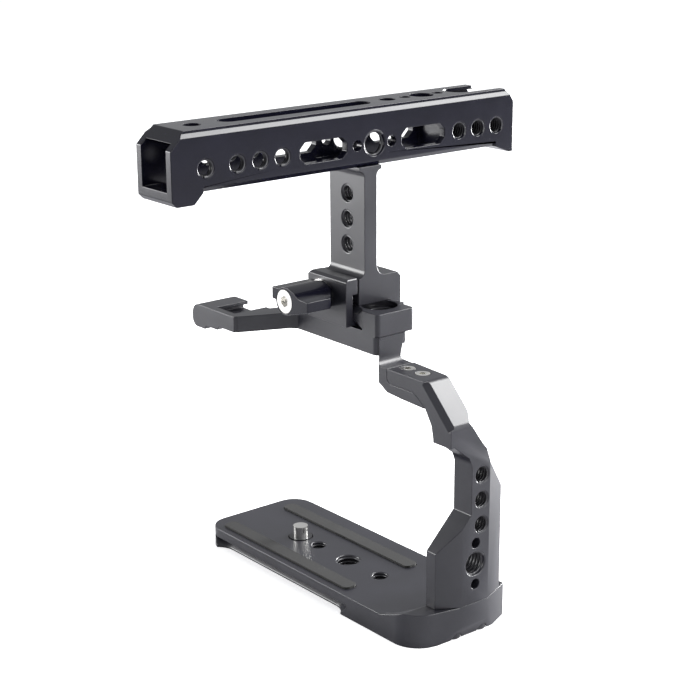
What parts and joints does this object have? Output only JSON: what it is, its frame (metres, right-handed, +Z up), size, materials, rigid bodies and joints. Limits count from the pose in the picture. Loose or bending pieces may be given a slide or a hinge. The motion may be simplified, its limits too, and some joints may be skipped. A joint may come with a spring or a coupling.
{
  "type": "camera cage",
  "caption": "Half cage for a small mirrorless camera, with a top handle clamped on a quick-release rail, a cold shoe arm and threaded holes",
  "frame": {"origin": "On the axis of the central tripod thread, at the underside of the base plate", "axes": "+X the operator's right, +Y forward to the lens side, +Z up"},
  "size_m": [0.139, 0.1637, 0.1971],
  "materials": {
    "anodised": "black anodised, satin, fine grain",
    "gloss_anodised": "black anodised, smooth, cool sheen",
    "rubber": "matte",
    "bright_steel": "bright turned steel",
    "dark_steel": "dark oxide"
  },
  "bodies": {
    "cage": {"base_plate": "anodised", "rear_pad": "rubber", "front_pad": "rubber", "base_dowels": "bright_steel", "base_screws": "dark_steel", "side_plate": "anodised", "arm_screws": "bright_steel", "top_bar": "anodised"},
    "screw_keeper": {"screw_ring": "dark_steel"},
    "camera_fixing": {"camera_screw": "bright_steel"},
    "handle": {"handle_grip": "gloss_anodised", "handle_post": "anodised", "post_screw": "dark_steel", "post_pins": "bright_steel", "guide_pins": "bright_steel", "jaw_springs": "dark_steel"},
    "jaw": {"clamp_jaw": "anodised"},
    "lever": {"clamp_lever": "gloss_anodised", "clamp_bolt": "bright_steel", "lever_key": "bright_steel", "lever_washer": "bright_steel"}
  },
  "joints": [
    {"name": "handle_slide", "type": "slide", "parent": "cage", "child": "handle", "axis": [1, 0, 0], "range_m": [-0.012, 0.0005]},
    {"name": "jaw_slide", "type": "slide", "parent": "handle", "child": "jaw", "axis": [0, -1, 0], "range_m": [0, 0.0024]},
    {"name": "lever_turn", "type": "hinge", "parent": "jaw", "child": "lever", "pos_m": [0.01805, -0.02, 0.124], "axis": [0, -1, 0], "range_deg": [0, 1080]},
    {"name": "screw_travel", "type": "slide", "parent": "cage", "child": "screw_keeper", "axis": [0, 0, -1], "range_m": [0, 0.0032]},
    {"name": "camera_screw_turn", "type": "hinge", "parent": "screw_keeper", "child": "camera_fixing", "pos_m": [-0.012, 0, 0.009], "axis": [0, 0, 1], "continuous": true}
  ],
  "couplings": [
    {"joint": "lever_turn", "follows": "jaw_slide", "rad_per_m": 7853.9}
  ]
}
